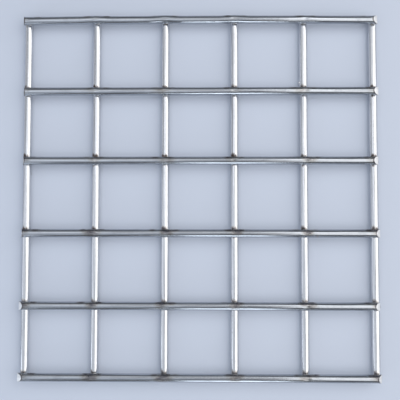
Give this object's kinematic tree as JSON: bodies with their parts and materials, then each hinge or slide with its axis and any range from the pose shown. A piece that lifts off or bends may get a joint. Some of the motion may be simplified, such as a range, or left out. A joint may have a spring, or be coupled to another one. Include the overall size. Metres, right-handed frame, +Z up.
{
  "type": "welded wire mesh",
  "caption": "Small flat square sheet of welded steel wire mesh: round cross wires fused on top of round line wires at every crossing, ends trimmed flush.",
  "frame": {"origin": "middle of the even grid of wires, on the plane that the line wires lie on", "axes": "+X along the upper cross wires, +Y along the lower line wires, +Z up through the sheet"},
  "size_m": [0.1303, 0.1329, 0.0057],
  "materials": {
    "steel_wire": "bright drawn wire, satin, with dark heat tint at the welds"
  },
  "bodies": {
    "root": {"welded_mesh": "steel_wire"}
  },
  "joints": []
}
